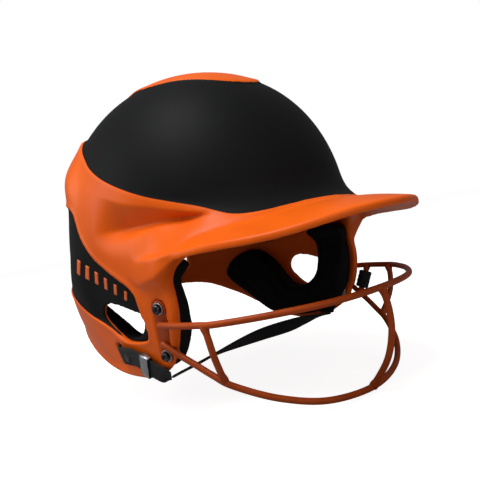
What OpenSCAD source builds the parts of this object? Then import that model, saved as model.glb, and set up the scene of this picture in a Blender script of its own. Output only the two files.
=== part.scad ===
// Batting helmet with a wire face guard, pads and chin strap.
// Millimetres. +X is the way the wearer faces, +Y the wearer's left, +Z up.
// The origin is the midpoint between the two ear holes.

/* [Shell] */
// Wall thickness of the moulded shell
shell_wall = 4.5; // [3:0.5:6]
// Centre of the dome, along the head
dome_centre_x = -2; // [-20:1:10]
// Height of the widest level of the dome
dome_base_z = 50; // [30:1:70]
// Height of the dome above its widest level
dome_rise = 119; // [100:1:140]
// Distance from the dome centre to the forehead
front_reach = 109; // [110:1:135]
// Distance from the dome centre to the back of the head
rear_reach = 122; // [110:1:140]
// Half the width of the dome
half_width = 103; // [90:1:115]

/* [Shell styling] */
// Depth of the scoop pressed into each side
scoop_depth = 7; // [0:0.5:10]
// Height of the raised band round the back
bulge_height = 6; // [0:0.5:9]

/* [Brim] */
// Furthest point of the brim ahead of the origin
brim_tip_x = 170; // [160:1:190]
// Thickness of the brim
brim_thickness = 5; // [3:0.5:7]

/* [Pads] */
// Gap between a pad and the shell behind it
pad_gap = 0.4; // [0.3:0.1:2]
// Thickness of the jaw pads
jaw_pad_thickness = 15; // [8:1:20]
// Thickness of the crown, forehead and rear pads
head_pad_thickness = 13; // [8:1:20]
// Thickness of the side pads
side_pad_thickness = 9; // [5:1:12]

/* [Face guard] */
// Diameter of the guard wire
wire_diameter = 4.4; // [3:0.1:6]
// Diameter of the sleeve on the left side upright
sleeve_diameter = 10; // [7:0.5:12]

/* [Fasteners] */
// Diameter of the screw heads
screw_head_diameter = 7.6; // [6:0.2:10]
// Diameter of the screw shanks
screw_shank_diameter = 4; // [3:0.5:5]

/* [Chin strap] */
// Width of the webbing
strap_width = 14; // [10:1:25]
// Thickness of the webbing
strap_thickness = 1.8; // [1:0.1:3]

/* [Hidden] */

paint_orange = [0.90, 0.36, 0.09];
pad_black = [0.06, 0.06, 0.06];
metal_grey = [0.55, 0.57, 0.60];
webbing_black = [0.10, 0.10, 0.11];

ring_points = 72;
wire_sides = 12;
wire_radius = wire_diameter / 2;

// Levels below the widest level of the dome: height, reach ahead, reach
// behind, half width, squareness of the front half and of the rear half.
lower_levels = [
  [-56, 108, 98, 80, 3.3, 2.8],
  [-44, 112, 104, 86, 3.3, 2.8],
  [-30, 116, 109, 90.5, 3.2, 2.8],
  [-15, 118, 114, 94, 3.1, 2.7],
  [0, 119, 118, 97, 2.9, 2.6],
  [15, 119, 120.5, 99.5, 2.7, 2.45],
  [32, 117, 121.5, 101.5, 2.4, 2.25],
];
dome_rear_squareness = 2.05;
dome_steps = 15;
dome_power = 2.2;
dome_squareness = 2.1;

// Side view of the shell edge: [x, z], from the nape round under the ear,
// up the front of the ear flap and along under the brim.
edge_line = [
  [-150, 4], [-122, 2], [-104, -3], [-86, -13], [-72, -20], [-59, -26.5],
  [-47, -32], [-36, -36.5], [-22, -40], [-9, -41.5], [4, -41.5], [16, -41],
  [28, -38.5], [39, -34], [48, -28.5], [54, -22.5], [59, -15.5], [62.5, -8],
  [65, 0], [66.3, 8], [66.3, 16], [65.2, 24], [65.5, 30], [68, 35.5],
  [74, 40], [84, 43], [100, 45], [125, 46.5],
];
edge_limit_x = 230;
edge_limit_z = -90;

// Side view of each ear hole.
ear_hole_line = [
  [-14, 4], [-12, 9], [-7, 12], [0, 12.5], [10, 11], [22, 8], [33, 5],
  [36, 2], [36, -5], [34, -10], [28, -12.5], [14, -13.5], [5, -12.5],
  [-3, -8], [-10, -2],
];

// Rear vents: middle across, middle up, width, height.
vent_centres = [[-44, 24], [44, 24]];
vent_size = [13, 20];

// Screws that hold the guard, on the left flap: a point on the outer face
// and the way out of it.
screw_points = [[54, 94, 10], [48.5, 90.4, -21]];
screw_ways = [[0.21, 0.96, -0.16], [0.19, 0.95, -0.25]];
screw_bore = screw_shank_diameter + 0.6;
shank_facets = 24;

// Strap slot through the right flap: [x, z] of the middle, and the size.
strap_slot_centre = [-8.5, -24];
strap_slot_size = [6, 17];

// ---------------------------------------------------------------- helpers
function unit(v) = v / norm(v);
function signed_power(v, p) = sign(v) * pow(abs(v), p);
function bell(v, width) = exp(-(v / width) * (v / width));
function mirror_y(p) = [p[0], -p[1], p[2]];

function curve_point(a, b, c, d, t) = 0.5 * (2 * b + (c - a) * t
  + (2 * a - 5 * b + 4 * c - d) * t * t
  + (3 * b - a - 3 * c + d) * t * t * t);

function smooth_path(pts, steps) = [
  for (i = [0 : len(pts) - 2])
    let (a = i == 0 ? 2 * pts[0] - pts[1] : pts[i - 1],
      b = pts[i],
      c = pts[i + 1],
      d = i == len(pts) - 2 ? 2 * c - b : pts[i + 2])
    for (k = [0 : steps - 1]) curve_point(a, b, c, d, k / steps),
  pts[len(pts) - 1]
];

// Closed skin over rings that each hold the same number of points.
module skin(rings) {
  sides = len(rings[0]);
  last = len(rings) - 1;
  walls = [for (i = [0 : last - 1]) for (k = [0 : sides - 1])
    let (a = i * sides + k,
      b = i * sides + (k + 1) % sides,
      c = a + sides,
      d = b + sides)
    each [[a, c, d], [a, d, b]]];
  start_cap = [[for (k = [0 : sides - 1]) k]];
  end_cap = [[for (k = [sides - 1 : -1 : 0]) last * sides + k]];
  polyhedron([for (r = rings) each r], concat(walls, start_cap, end_cap),
    convexity = 8);
}

function tube_rings(path, radius, reference) = [
  for (i = [0 : len(path) - 1])
    let (ahead = path[min(i + 1, len(path) - 1)],
      behind = path[max(i - 1, 0)],
      t = unit(ahead - behind),
      u = unit(cross(reference, t)),
      v = cross(t, u))
    [for (k = [0 : wire_sides - 1])
      let (a = 360 * k / wire_sides)
      path[i] + radius * (cos(a) * u + sin(a) * v)]
];

module wire(path, reference) {
  skin(tube_rings(path, wire_radius, reference));
}

// Flat webbing: a path of points with the direction its width runs in.
module webbing(path, width_ways) {
  skin([for (i = [0 : len(path) - 1])
    let (ahead = path[min(i + 1, len(path) - 1)],
      behind = path[max(i - 1, 0)],
      t = unit(ahead - behind),
      w = unit(width_ways[i] - (width_ways[i] * t) * t),
      n = cross(t, w),
      half_w = strap_width / 2,
      half_t = strap_thickness / 2)
    [path[i] + half_w * w + half_t * n, path[i] - half_w * w + half_t * n,
      path[i] - half_w * w - half_t * n, path[i] + half_w * w - half_t * n]]);
}

// A flat outline in the side view, pushed across from one Y to another.
module side_prism(outline, from_y, to_y) {
  translate([0, to_y, 0])
    rotate([90, 0, 0])
      linear_extrude(height = to_y - from_y)
        polygon(outline);
}

// ------------------------------------------------------------ shell form
level_heights = [for (l = lower_levels) l[0]];
function column(k) = [for (l = lower_levels) [l[0], l[k]]];
function blend_down(z, k, top) = lookup(z, concat(column(k),
  [[dome_base_z, top]]));
function dome_scale(z) = pow(1 - pow(min(0.9995, (z - dome_base_z)
  / dome_rise), dome_power), 1 / dome_power);

// Plain shell: point at angle a on the level at height z.
function plain_point(a, z, inset) =
  let (upper = z > dome_base_z,
    k = upper ? dome_scale(z) : 1,
    ahead = upper ? front_reach : blend_down(z, 1, front_reach),
    behind = upper ? rear_reach : blend_down(z, 2, rear_reach),
    wide = upper ? half_width : blend_down(z, 3, half_width),
    front_square = upper ? dome_squareness
      : blend_down(z, 4, dome_squareness),
    rear_square = upper ? dome_rear_squareness
      : blend_down(z, 5, dome_rear_squareness),
    square = cos(a) > 0 ? front_square : rear_square,
    reach = cos(a) > 0 ? ahead - inset : behind - inset)
  [dome_centre_x + k * reach * signed_power(cos(a), 2 / square),
    k * (wide - inset) * signed_power(sin(a), 2 / square), z];

// The scoop in each side, and the band that stands out round the back.
scoop_x = 42;
scoop_half_length = 34;
scoop_z = 68;
scoop_slope = 0.2;
scoop_half_height = 10;
// The scoop fades out towards the forehead, inside this distance across.
scoop_fade_y = 70;
bulge_start_x = -25;
bulge_softness = 10;
bulge_z = 113;
bulge_half_height = 22;
function scoop_at(x, y, z) = scoop_depth * min(1, abs(y) / scoop_fade_y)
  * bell(x - scoop_x, scoop_half_length)
  * bell(z - scoop_z + scoop_slope * (x - scoop_x), scoop_half_height);
function bulge_at(x, z) = bulge_height
  / (1 + exp((x - bulge_start_x) / bulge_softness))
  * bell(z - bulge_z, bulge_half_height);
function styled_point(a, z) =
  let (p = plain_point(a, z, 0),
    rad = unit([p[0] - dome_centre_x, p[1], 0]))
  p + rad * (bulge_at(p[0], z) - scoop_at(p[0], p[1], z));

// The topmost level stops just short of the pole.
last_level_angle = 88;
dome_heights = [for (k = [0 : dome_steps])
  dome_base_z + dome_rise * sin(last_level_angle * k / dome_steps)];
all_heights = concat(level_heights, dome_heights);

module outer_form() {
  skin([for (z = all_heights)
    [for (k = [0 : ring_points - 1]) styled_point(360 * k / ring_points, z)]]);
}

// The shell drawn in by an inset, which is looked up by height.
module inner_form(insets) {
  crown_inset = lookup(200, insets);
  squeeze = (dome_rise - crown_inset) / dome_rise;
  floor_z = level_heights[0];
  skin([for (z = concat([floor_z - 10], all_heights))
    [for (k = [0 : ring_points - 1])
      let (a = 360 * k / ring_points,
        p = plain_point(a, max(z, floor_z), lookup(z, insets)),
        q = p - scoop_at(p[0], p[1], z)
          * unit([p[0] - dome_centre_x, p[1], 0]))
      [q[0], q[1], z > dome_base_z
        ? dome_base_z + (z - dome_base_z) * squeeze : z]]]);
}

module below_edge() {
  side_prism(concat(edge_line,
    [[edge_limit_x, edge_line[len(edge_line) - 1][1]],
    [edge_limit_x, edge_limit_z], [edge_line[0][0], edge_limit_z]]),
    -150, 150);
}

brim_steps = 40;
brim_rows = 5;
// The brim reaches this far round each side, in degrees of its own ellipse,
// while its root turns only a share of that round the dome.
brim_half_angle = 88;
brim_root_turn = 0.62;
brim_root_inset = 2.5;
brim_temple_x = 60;
brim_temple_y = 95;
// Height of the brim edge by the angle round from straight ahead.
brim_edge_heights = [[0, 52.2], [10, 52.2], [20, 51.3], [30, 49.2],
  [40, 46.8], [50, 45.4], [60, 45], [70, 44.6], [80, 42.6], [88, 38.5]];
brim_root_z = 57;
brim_root_temple_z = 50;
brim_arch = 2.5;

function brim_root(a) = plain_point(a,
  brim_root_temple_z + (brim_root_z - brim_root_temple_z) * cos(a),
  brim_root_inset);
function brim_edge(a) = [
  brim_temple_x + (brim_tip_x - brim_temple_x) * cos(a),
  brim_temple_y * sin(a), lookup(abs(a), brim_edge_heights)];
function brim_section(a) =
  let (root = brim_root(a * brim_root_turn), edge = brim_edge(a),
    top = [for (k = [0 : brim_rows]) let (s = k / brim_rows)
      root + (edge - root) * s + [0, 0, brim_arch * cos(a) * sin(180 * s)]])
  concat(top, [for (k = [brim_rows : -1 : 0]) top[k]
    - [0, 0, brim_thickness]]);

module brim() {
  skin([for (k = [0 : brim_steps])
    brim_section(brim_half_angle * (2 * k / brim_steps - 1))]);
}

module vents() {
  for (c = vent_centres)
    translate([-150, c[0] - vent_size[0] / 2, c[1] - vent_size[1] / 2])
      cube([80, vent_size[0], vent_size[1]]);
}

module strap_slot() {
  translate([strap_slot_centre[0], -90, strap_slot_centre[1]])
    cube([strap_slot_size[0], 40, strap_slot_size[1]], center = true);
}

// Children stand on the flaps at each screw, with +Z pointing outwards.
module at_screws() {
  for (side = [0, 1])
    mirror([0, side, 0])
      for (k = [0, 1])
        let (way = unit(screw_ways[k]))
          translate(screw_points[k])
            rotate([0, acos(way[2]), atan2(way[1], way[0])])
              children();
}

module screw_bores() {
  at_screws()
    cylinder(h = 30, d = screw_bore, center = true, $fn = shank_facets);
}

module shell() {
  color(paint_orange)
    resize([0, 0, 0])
      union() {
        difference() {
          outer_form();
          inner_form([[0, shell_wall]]);
          below_edge();
          side_prism(ear_hole_line, -130, 130);
          vents();
          strap_slot();
          screw_bores();
          guard_seats();
        }
        brim();
      }
}

// ------------------------------------------------------------------ pads
// Side view of each jaw pad: it runs from behind the ear, under it, and
// up in front of it.
jaw_pad_line = [
  [62, 37], [62, 22], [61.5, 8], [59, -5], [55, -14], [49, -22], [41, -29],
  [30, -33.5], [16, -36], [0, -37], [-16, -36.5], [-30, -33], [-44, -25.5],
  [-58, -16], [-70, -7], [-77, 0], [-79, 6], [-77, 13], [-72, 18.5],
  [-64, 22], [-55, 22.5], [-46, 19.5], [-35, 12], [-26, 5], [-17, -3],
  [-8, -10], [0, -12.5], [9, -12.5], [16, -10.5], [21, -8], [26, -4],
  [29, 2], [30, 12], [28, 21], [22, 28], [22, 36],
];
// Thickness of the jaw pad by height, as a share of its full thickness.
jaw_pad_shares = [[-40, 0.9], [-28, 1], [-5, 1], [12, 0.85], [26, 0.6],
  [32, 0.85], [40, 0.9]];
jaw_pad_insets = [for (s = jaw_pad_shares)
  [s[0], shell_wall + pad_gap + jaw_pad_thickness * s[1]]];
nut_pocket_diameter = 14;
nut_pocket_depth = 4.8;

// Layer of padding between the shell and a deeper set of insets.
module pad_layer(insets) {
  difference() {
    inner_form([[0, shell_wall + pad_gap]]);
    inner_form(insets);
  }
}

module head_pad_layer() {
  pad_layer([[0, shell_wall + pad_gap + head_pad_thickness]]);
}

module jaw_pad(side) {
  difference() {
    intersection() {
      pad_layer(jaw_pad_insets);
      side_prism(jaw_pad_line, side > 0 ? 20 : -140, side > 0 ? 140 : -20);
    }
    at_screws()
      translate([0, 0, -shell_wall - nut_pocket_depth])
        cylinder(h = 10, d = nut_pocket_diameter, $fn = shank_facets);
  }
}

// Room behind the left pad for the inner end of the strap.
strap_pocket_x = [24, 42];
strap_pocket_top = -11;
strap_pocket_inset = 9.5;
module strap_pocket() {
  intersection() {
    difference() {
      inner_form([[0, 0]]);
      inner_form([[0, strap_pocket_inset]]);
    }
    translate([strap_pocket_x[0], 20, strap_pocket_top - 60])
      cube([strap_pocket_x[1] - strap_pocket_x[0], 100, 60]);
  }
}

module left_jaw_pad() {
  color(pad_black)
    resize([0, 0, 0])
      difference() {
        jaw_pad(1);
        strap_pocket();
      }
}

module right_jaw_pad() {
  color(pad_black)
    resize([0, 0, 0])
      jaw_pad(-1);
}

crown_pad_half_length = 62;
crown_pad_half_width = 40;
module crown_pad() {
  color(pad_black)
    resize([0, 0, 0])
      intersection() {
        head_pad_layer();
        translate([dome_centre_x, 0, 100])
          scale([crown_pad_half_length, crown_pad_half_width, 1])
            cylinder(h = 90, r = 1, $fn = 32);
      }
}

forehead_pad_z = [50, 82];
forehead_pad_half_width = 62;
module forehead_pad() {
  color(pad_black)
    resize([0, 0, 0])
      intersection() {
        head_pad_layer();
        translate([20, -forehead_pad_half_width, forehead_pad_z[0]])
          cube([150, 2 * forehead_pad_half_width,
            forehead_pad_z[1] - forehead_pad_z[0]]);
      }
}

rear_pad_z = [38, 92];
rear_pad_half_width = 52;
module rear_pad() {
  color(pad_black)
    resize([0, 0, 0])
      intersection() {
        head_pad_layer();
        translate([-170, -rear_pad_half_width, rear_pad_z[0]])
          cube([140, 2 * rear_pad_half_width, rear_pad_z[1] - rear_pad_z[0]]);
      }
}

// Side view of each side pad, above and behind the ear.
side_pad_line = [
  [-82, 40], [-80, 34], [-73, 29.5], [-60, 28.3], [-45, 28], [-30, 29.5],
  [-20, 32.5], [-14, 38], [-13, 47], [-18, 60], [-28, 71], [-45, 77],
  [-62, 75], [-76, 66], [-82, 53],
];
module side_pad(side) {
  color(pad_black)
    resize([0, 0, 0])
      intersection() {
        pad_layer([[0, shell_wall + pad_gap + side_pad_thickness]]);
        side_prism(side_pad_line, side > 0 ? 20 : -140,
          side > 0 ? 140 : -20);
      }
}

module left_side_pad() {
  side_pad(1);
}

module right_side_pad() {
  side_pad(-1);
}

// ------------------------------------------------------------ face guard
// Left half of each long wire, from the flap to the middle.
upper_half = [[52.5, 94.8, -0.5], [58, 95.9, -0.2], [66, 96, 0],
  [77, 95, 0], [89, 92.4, 0], [101, 88.4, 0], [125, 67.4, 0.5],
  [144.5, 37.4, 0.9], [151, 0, 1.2]];
lower_half = [[49, 93.3, -12.6], [53.5, 92.2, -15.2], [61, 89.9, -20],
  [71.5, 86.6, -26.2], [82, 82.8, -33], [93, 77.7, -39.9],
  [111.6, 60.3, -50.9], [125.5, 34.6, -59.4], [132.2, 0, -61.9]];
function both_sides(half) = concat(half,
  [for (k = [len(half) - 2 : -1 : 0]) mirror_y(half[k])]);
wire_steps = 4;

module guard_upper_wire() {
  color(paint_orange)
    wire(smooth_path(both_sides(upper_half), wire_steps), [0, 0, 1]);
}

module guard_lower_wire() {
  color(paint_orange)
    wire(smooth_path(both_sides(lower_half), wire_steps), [0, 0, 1]);
}

// Uprights join the two long wires: [upper end, bend, bend, lower end].
centre_upright_path = [[151, 0, 1.2], [153.5, 0, -12], [152.5, 0, -27],
  [146, 0, -44], [132.2, 0, -61.9]];
cheek_upright_path = [[93.5, 91, 0], [94.5, 90.2, -9], [93.5, 87.4, -21],
  [88.5, 79.8, -37]];
side_upright_path = [[70.5, 95.75, 0], [64, 89.05, -21.7]];
upright_steps = 4;

module guard_centre_upright() {
  color(paint_orange)
    wire(smooth_path(centre_upright_path, upright_steps), [0, 1, 0]);
}

module upright(path, side) {
  color(paint_orange)
    wire(smooth_path([for (p = path) [p[0], side * p[1], p[2]]],
      upright_steps), [1, 0, 0]);
}

module left_cheek_upright() {
  upright(cheek_upright_path, 1);
}

module right_cheek_upright() {
  upright(cheek_upright_path, -1);
}

module left_side_upright() {
  upright(side_upright_path, 1);
}

// Soft sleeve pushed over the middle of a straight side upright.
sleeve_span = [0.22, 0.79];
sleeve_ends = [for (share = sleeve_span) side_upright_path[0] * (1 - share)
  + side_upright_path[1] * share];
sleeve_clearance = 0.2;
sleeve_facets = 32;
module sleeve() {
  run = sleeve_ends[1] - sleeve_ends[0];
  way = unit(run);
  color(pad_black)
    translate(sleeve_ends[0])
      rotate([0, acos(way[2]), atan2(way[1], way[0])])
        difference() {
          cylinder(h = norm(run), d = sleeve_diameter, $fn = sleeve_facets);
          translate([0, 0, -1])
            cylinder(h = norm(run) + 2, r = wire_radius + sleeve_clearance,
              $fn = sleeve_facets);
        }
}

module left_sleeve() {
  sleeve();
}

// Painted plate under the screws of one flap, with the wire ends on it.
plate_thickness = 1.6;
plate_diameter = 10;
plate_lift = -1.6;
seat_clearance = 0.3;

// Bar with round ends that joins the two screws of the left flap.
module plate_bar(lift, height, diameter) {
  hull()
    for (k = [0, 1])
      let (way = unit(screw_ways[k]))
        translate(screw_points[k] + lift * way)
          rotate([0, acos(way[2]), atan2(way[1], way[0])])
            cylinder(h = height, d = diameter, $fn = sleeve_facets);
}

module guard_plate() {
  color(paint_orange)
    resize([0, 0, 0])
      difference() {
        plate_bar(plate_lift, plate_thickness, plate_diameter);
        screw_bores();
      }
}

// Recess for each plate and groove for each wire end, in both flaps.
groove_points = 4;
module guard_seats() {
  for (side = [0, 1])
    mirror([0, side, 0]) {
      plate_bar(plate_lift - seat_clearance, 8,
        plate_diameter + 2 * seat_clearance);
      for (half = [upper_half, lower_half])
        skin(tube_rings(smooth_path([for (k = [0 : groove_points - 1])
          half[k]], wire_steps), wire_radius + seat_clearance, [0, 0, 1]));
    }
}

module left_guard_plate() {
  guard_plate();
}

module right_guard_plate() {
  mirror([0, 1, 0]) guard_plate();
}

// ------------------------------------------------------------- fasteners
// Gap that keeps stacked fastener faces apart.
face_gap = 0.3;
washer_thickness = 0.8;
washer_diameter = 9.4;
head_height = 2.4;
washer_seat = plate_lift + plate_thickness + face_gap;
head_seat = washer_seat + washer_thickness + face_gap;
socket_diameter = 3.4;
socket_depth = 1.5;
nut_flange_diameter = 11;
nut_flange_thickness = 1.2;
nut_barrel_diameter = 5.6;
nut_depth = 3.4;
// The flat flange of a nut stands off the curved inside of the shell.
nut_stand_off = 0.7;
shank_reach = shell_wall + 3.2;
shank_overlap = 0.5;

module screw() {
  difference() {
    union() {
      translate([0, 0, head_seat])
        cylinder(h = head_height, d1 = screw_head_diameter,
          d2 = screw_head_diameter - 1.6, $fn = shank_facets);
      translate([0, 0, -shank_reach])
        cylinder(h = shank_reach + head_seat + shank_overlap,
          d = screw_shank_diameter, $fn = shank_facets);
    }
    translate([0, 0, head_seat + head_height - socket_depth])
      cylinder(h = socket_depth + 1, d = socket_diameter, $fn = 6);
  }
}

module guard_screws() {
  color(metal_grey) at_screws() screw();
}

module guard_washers() {
  color(metal_grey)
    at_screws()
      translate([0, 0, washer_seat])
        difference() {
          cylinder(h = washer_thickness, d = washer_diameter,
            $fn = shank_facets);
          translate([0, 0, -1])
            cylinder(h = washer_thickness + 2, d = screw_bore,
              $fn = shank_facets);
        }
}

module guard_nuts() {
  color(metal_grey)
    at_screws()
      translate([0, 0, -shell_wall - nut_stand_off - nut_depth])
        difference() {
          union() {
            cylinder(h = nut_flange_thickness, d = nut_flange_diameter,
              $fn = shank_facets);
            cylinder(h = nut_depth, d = nut_barrel_diameter,
              $fn = shank_facets);
          }
          translate([0, 0, -1])
            cylinder(h = nut_depth + 2, d = screw_shank_diameter,
              $fn = shank_facets);
        }
}

// ------------------------------------------------------------ chin strap
// Crossing under the chin, from the right flap to the left one.
strap_cross = [[43, -82.4, -36.4], [41, -66, -35.4], [37, -44, -34.2],
  [33, -18, -34], [31, 8, -34.6], [32, 38, -35.8], [33, 60, -36.4],
  [33.5, 76.5, -36.6]];
strap_cross_ways = [[0.94, 0, 0.36], [0.95, 0, 0.33], [0.92, 0, 0.4],
  [0.75, 0, 0.66], [0.6, 0, 0.8], [0.6, 0, 0.8], [0.85, 0, 0.5],
  [1, 0, 0.1]];
// On the outside of the right flap, from the slot to the lower edge.
near_tab = [[-8.5, -89.2, -24], [-8.3, -91.2, -24], [-5.6, -93.6, -24],
  [2, -94.2, -24], [10, -94.4, -24], [18, -94.3, -25.6],
  [26, -93.8, -28.6], [33, -92.4, -32], [39, -90.2, -34.8],
  [42.2, -86.8, -36.1]];
near_tab_ways = [[0, -0.1, 1], [0, -0.2, 1], [0, -0.26, 1],
  [0, -0.26, 1], [0, -0.26, 1], [0.2, -0.24, 1], [0.5, -0.2, 0.9],
  [0.5, -0.2, 0.9], [0.7, -0.1, 0.7], [0.94, 0, 0.36]];
// On the inside of the left flap, from the rivet to the lower edge.
far_tab = [[33, 86, -15], [33, 84.9, -24], [33.2, 82.9, -31],
  [33.4, 79.2, -35.9]];
far_tab_ways = [[1, 0, 0], [1, 0, 0], [1, 0, 0], [1, 0, 0]];
strap_steps = 4;

module chin_strap() {
  color(webbing_black)
    webbing(smooth_path(strap_cross, strap_steps),
      smooth_path(strap_cross_ways, strap_steps));
}

module near_strap_tab() {
  color(webbing_black)
    webbing(smooth_path(near_tab, strap_steps),
      smooth_path(near_tab_ways, strap_steps));
}

module far_strap_tab() {
  color(webbing_black)
    webbing(smooth_path(far_tab, strap_steps),
      smooth_path(far_tab_ways, strap_steps));
}

// Metal keeper that slides on the webbing of the near tab.
keeper_centre = [26, -93.8, -28.6];
keeper_way = [0.9, 0.1, -0.42];
keeper_across = [0.5, -0.2, 0.9];
keeper_length = 8;
keeper_wall = 0.8;
keeper_play = 0.7;
module strap_keeper() {
  inner_w = strap_width + 2 * keeper_play;
  inner_t = strap_thickness + 2 * keeper_play;
  t = unit(keeper_way);
  w = unit(keeper_across - (keeper_across * t) * t);
  n = cross(t, w);
  c = keeper_centre;
  color(metal_grey)
    multmatrix([[w[0], n[0], t[0], c[0]], [w[1], n[1], t[1], c[1]],
      [w[2], n[2], t[2], c[2]], [0, 0, 0, 1]])
      difference() {
        cube([inner_w + 2 * keeper_wall, inner_t + 2 * keeper_wall,
          keeper_length], center = true);
        cube([inner_w, inner_t, keeper_length + 2], center = true);
      }
}

// One rivet holds each tab to its flap: [x, z], then the Y of the head's
// outer face and of the inner end of the shank.
rivet_sites = [[5, -24, -96, -88.2], [33, -20, 93.2, 84.2]];
rivet_head_diameter = 7;
rivet_head_height = 1.2;
rivet_shank_diameter = 3;
module strap_rivets() {
  color(metal_grey)
    for (r = rivet_sites)
      let (way = sign(r[2]))
        translate([r[0], r[2], r[1]])
          rotate([way * 90, 0, 0]) {
            cylinder(h = abs(r[2] - r[3]), d = rivet_shank_diameter,
              $fn = shank_facets);
            cylinder(h = rivet_head_height, d = rivet_head_diameter,
              $fn = shank_facets);
          }
}

shell();
crown_pad();
forehead_pad();
rear_pad();
left_side_pad();
right_side_pad();
left_jaw_pad();
right_jaw_pad();
guard_upper_wire();
guard_lower_wire();
guard_centre_upright();
left_cheek_upright();
right_cheek_upright();
left_side_upright();
left_sleeve();
left_guard_plate();
right_guard_plate();
guard_screws();
guard_washers();
guard_nuts();
chin_strap();
near_strap_tab();
far_strap_tab();
strap_keeper();
strap_rivets();
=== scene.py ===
import math

import bpy
import numpy as np
from mathutils import Matrix, Vector


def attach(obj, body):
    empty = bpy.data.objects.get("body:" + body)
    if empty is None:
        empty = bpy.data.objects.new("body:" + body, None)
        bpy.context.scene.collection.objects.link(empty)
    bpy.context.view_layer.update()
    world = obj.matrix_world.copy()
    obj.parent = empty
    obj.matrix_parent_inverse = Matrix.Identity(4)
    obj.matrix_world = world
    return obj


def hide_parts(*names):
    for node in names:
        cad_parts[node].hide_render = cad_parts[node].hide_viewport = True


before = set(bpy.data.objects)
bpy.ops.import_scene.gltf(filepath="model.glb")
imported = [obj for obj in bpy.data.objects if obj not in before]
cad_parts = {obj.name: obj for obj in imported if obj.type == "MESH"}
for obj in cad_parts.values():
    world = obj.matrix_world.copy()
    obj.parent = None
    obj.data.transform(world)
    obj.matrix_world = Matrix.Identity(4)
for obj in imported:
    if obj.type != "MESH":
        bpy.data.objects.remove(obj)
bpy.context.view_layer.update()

# Batting helmet. Lengths are in millimetres, as in part.scad, until a mesh is made.
MM = 0.001

# ---------------------------------------------------------------- camera
CAMERA_AZIMUTH = 49.5
CAMERA_ELEVATION = 2.4
CAMERA_ROLL = -10.15
CAMERA_DISTANCE = 446.4
CAMERA_OFFSET = (13.2, 41.3)
CAMERA_LENS = 42.0


def make_camera():
    """The camera looks at the helmet from its front right, a little above the ears."""
    a = math.radians(CAMERA_AZIMUTH)
    e = math.radians(CAMERA_ELEVATION)
    r = math.radians(CAMERA_ROLL)
    level = Vector((math.cos(a), math.sin(a), 0))
    back = Vector((math.sin(a) * math.cos(e), -math.cos(a) * math.cos(e), math.sin(e)))
    upright = back.cross(level)
    right = math.cos(r) * level + math.sin(r) * upright
    up = -math.sin(r) * level + math.cos(r) * upright
    place = CAMERA_DISTANCE * back + CAMERA_OFFSET[0] * right + CAMERA_OFFSET[1] * up
    data = bpy.data.cameras.new("camera")
    data.lens = CAMERA_LENS
    data.sensor_width = 36.0
    data.clip_start = 0.01
    camera = bpy.data.objects.new("camera", data)
    turn = Matrix((right, up, back)).transposed().to_4x4()
    camera.matrix_world = Matrix.Translation(place * MM) @ turn
    bpy.context.scene.collection.objects.link(camera)
    bpy.context.scene.camera = camera


make_camera()


# ------------------------------------------------------------- node tools
class Nodes:
    """A short way to wire one material."""

    def __init__(self, name):
        self.material = bpy.data.materials.new(name)
        self.material.use_nodes = True
        self.tree = self.material.node_tree
        self.tree.nodes.clear()
        self.shader = self.add("ShaderNodeBsdfPrincipled")
        output = self.add("ShaderNodeOutputMaterial")
        self.link(self.shader.outputs[0], output.inputs["Surface"])

    def add(self, kind, **values):
        node = self.tree.nodes.new(kind)
        for name, value in values.items():
            setattr(node, name, value)
        return node

    def link(self, out, into):
        self.tree.links.new(out, into)

    def feed(self, value, socket):
        """A link from another node's output, or a plain value."""
        if hasattr(value, "is_output"):
            self.link(value, socket)
        else:
            socket.default_value = value

    def set(self, **values):
        """Values of the shader's own sockets, with _ for a space in the name."""
        for name, value in values.items():
            self.feed(value, self.shader.inputs[name.replace("_", " ")])

    def place(self):
        """Position on the object, in metres."""
        return self.add("ShaderNodeTexCoord").outputs["Object"]

    def noise(self, scale, detail=2.0, stretch=None):
        """Noise at so many grains a metre."""
        node = self.add("ShaderNodeTexNoise")
        node.inputs["Scale"].default_value = scale
        node.inputs["Detail"].default_value = detail
        source = self.place()
        if stretch:
            mapping = self.add("ShaderNodeMapping")
            mapping.inputs["Scale"].default_value = stretch
            self.link(source, mapping.inputs["Vector"])
            source = mapping.outputs[0]
        self.link(source, node.inputs["Vector"])
        return node.outputs["Fac"]

    def attribute(self, name):
        """A float attribute of the mesh."""
        return self.add("ShaderNodeAttribute", attribute_name=name).outputs["Fac"]

    def span(self, value, low, high, to_low=0.0, to_high=1.0):
        """value from low to high becomes to_low to to_high."""
        node = self.add("ShaderNodeMapRange")
        for k, v in enumerate((low, high, to_low, to_high)):
            node.inputs[k + 1].default_value = v
        self.link(value, node.inputs[0])
        return node.outputs[0]

    def calc(self, kind, a, b=0.0):
        """Arithmetic on outputs or plain values."""
        node = self.add("ShaderNodeMath", operation=kind)
        self.feed(a, node.inputs[0])
        self.feed(b, node.inputs[1])
        return node.outputs[0]

    def mix(self, share, a, b):
        """A colour from a to b."""
        node = self.add("ShaderNodeMix", data_type="RGBA")
        for k, value in ((0, share), (6, a), (7, b)):
            self.feed((*value, 1) if isinstance(value, tuple) else value, node.inputs[k])
        return node.outputs[2]

    def bump(self, height, depth):
        """Bump of so many metres."""
        node = self.add("ShaderNodeBump")
        node.inputs["Strength"].default_value = 1.0
        node.inputs["Distance"].default_value = depth
        self.link(height, node.inputs["Height"])
        self.link(node.outputs[0], self.shader.inputs["Normal"])


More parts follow.
